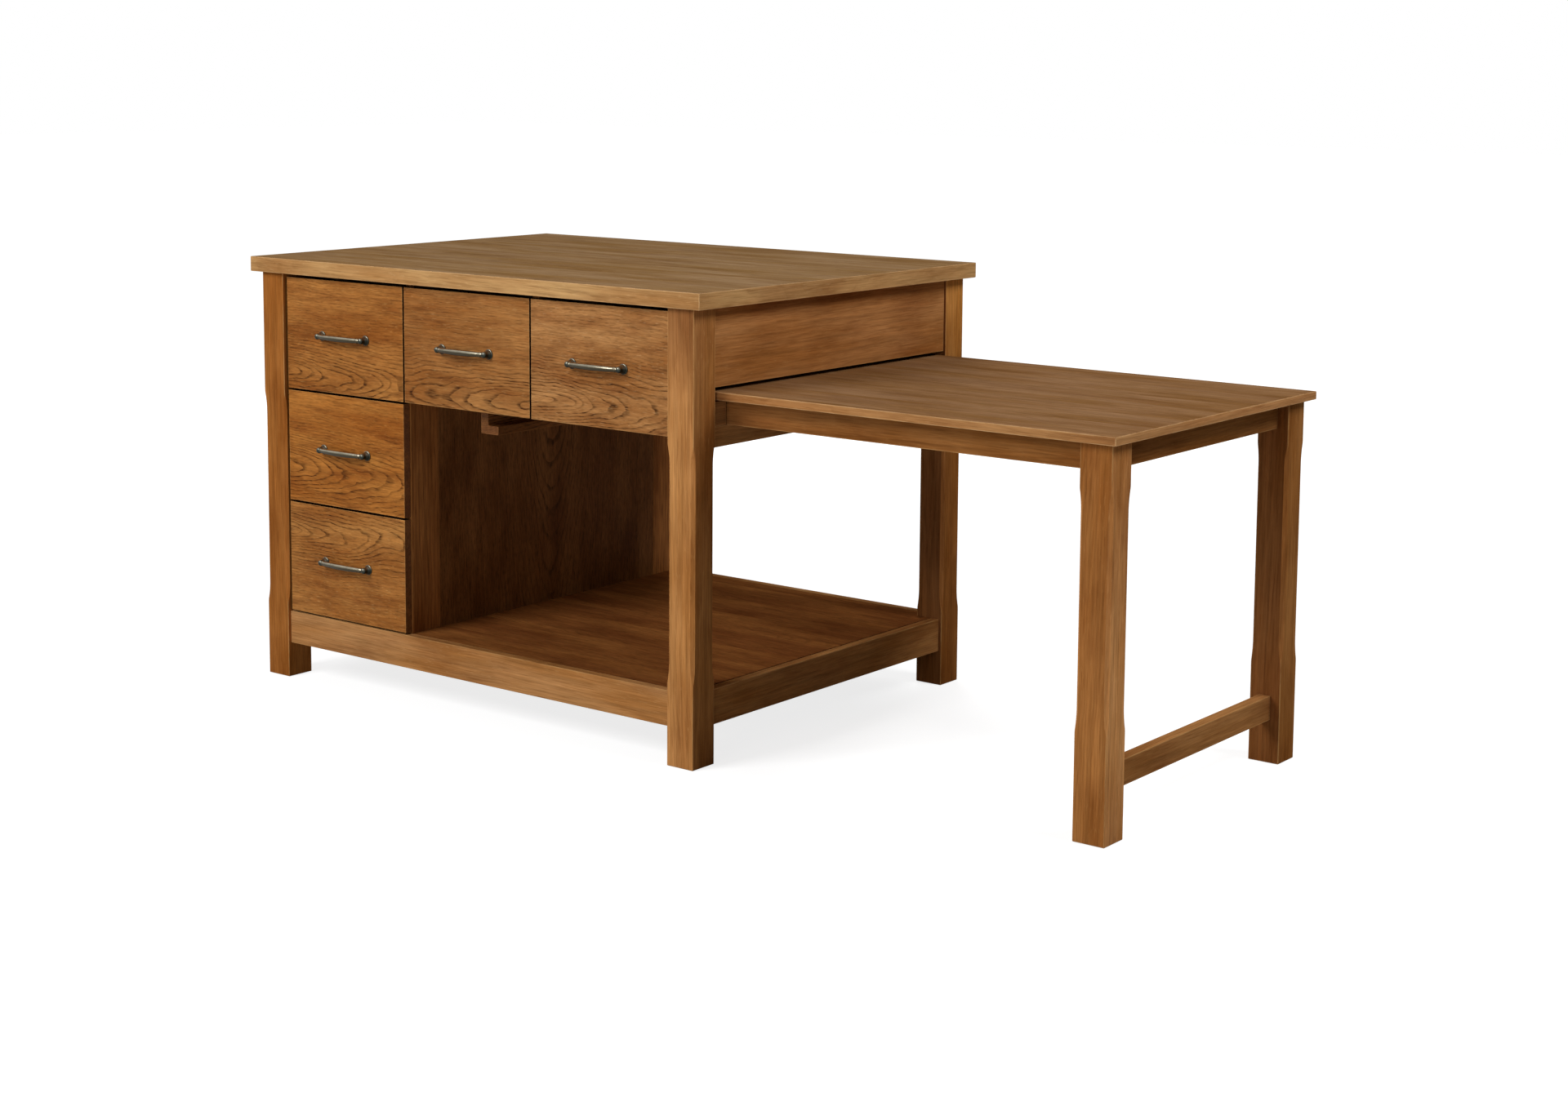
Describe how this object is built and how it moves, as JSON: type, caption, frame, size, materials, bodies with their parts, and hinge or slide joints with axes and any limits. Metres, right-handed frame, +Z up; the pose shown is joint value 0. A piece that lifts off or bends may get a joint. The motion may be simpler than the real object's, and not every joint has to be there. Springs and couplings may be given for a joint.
{
  "type": "kitchen island unit",
  "caption": "Free-standing oak kitchen island with drawers, an open bay over a shelf and a table that slides out of one end.",
  "frame": {"origin": "on the floor, at the middle of the whole object's length and depth with the table out", "axes": "+X along the drawer face towards the table's end, +Y from the drawer face to the back, +Z up"},
  "size_m": [2.092, 0.9376, 0.914],
  "materials": {
    "oak": "stained, satin lacquer",
    "oak_inner": "stained, satin lacquer",
    "birch": "clear lacquer",
    "pewter": "satin pewter plate",
    "steel": "zinc plated"
  },
  "bodies": {
    "case": {"worktop": "oak", "post_front_left": "oak", "post_front_right": "oak", "post_back_left": "oak", "post_back_right": "oak", "apron_right": "oak", "apron_left": "oak", "apron_back": "oak", "case_rail_front": "oak", "case_rail_back": "oak", "lower_rail_front": "oak", "lower_rail_back": "oak", "lower_rail_left": "oak", "lower_rail_right": "oak", "shelf": "oak", "partition_stile_front": "oak_inner", "partition_stile_back": "oak_inner", "partition_panel": "oak_inner", "column_side_inner": "oak_inner", "column_side_outer": "oak_inner", "column_back": "oak_inner", "column_rail": "oak_inner", "drawer_dividers": "oak_inner", "drawer_runners": "birch", "table_support_rail": "oak", "table_guides": "oak", "cross_bearer": "oak"},
    "table": {"table_top": "oak", "table_leg_front": "oak", "table_leg_back": "oak", "table_aprons": "oak", "table_apron_end": "oak", "table_rail_inner": "oak", "table_stretcher": "oak", "table_stops": "oak"},
    "top_left_drawer": {"top_left_front": "oak", "top_left_box": "birch", "top_left_bottom": "birch", "top_left_handle": "pewter", "top_left_screws": "steel"},
    "top_middle_drawer": {"top_middle_front": "oak", "top_middle_box": "birch", "top_middle_bottom": "birch", "top_middle_handle": "pewter", "top_middle_screws": "steel"},
    "top_right_drawer": {"top_right_front": "oak", "top_right_box": "birch", "top_right_bottom": "birch", "top_right_handle": "pewter", "top_right_screws": "steel"},
    "middle_drawer": {"middle_front": "oak", "middle_box": "birch", "middle_bottom": "birch", "middle_handle": "pewter", "middle_screws": "steel"},
    "lower_drawer": {"lower_front": "oak", "lower_box": "birch", "lower_bottom": "birch", "lower_handle": "pewter", "lower_screws": "steel"}
  },
  "joints": [
    {"name": "table_slide", "type": "slide", "parent": "case", "child": "table", "axis": [1, 0, 0], "range_m": [-0.785, 0]},
    {"name": "top_left_slide", "type": "slide", "parent": "case", "child": "top_left_drawer", "axis": [0, -1, 0], "range_m": [0, 0.37]},
    {"name": "top_middle_slide", "type": "slide", "parent": "case", "child": "top_middle_drawer", "axis": [0, -1, 0], "range_m": [0, 0.37]},
    {"name": "top_right_slide", "type": "slide", "parent": "case", "child": "top_right_drawer", "axis": [0, -1, 0], "range_m": [0, 0.37]},
    {"name": "middle_slide", "type": "slide", "parent": "case", "child": "middle_drawer", "axis": [0, -1, 0], "range_m": [0, 0.37]},
    {"name": "lower_slide", "type": "slide", "parent": "case", "child": "lower_drawer", "axis": [0, -1, 0], "range_m": [0, 0.37]}
  ]
}
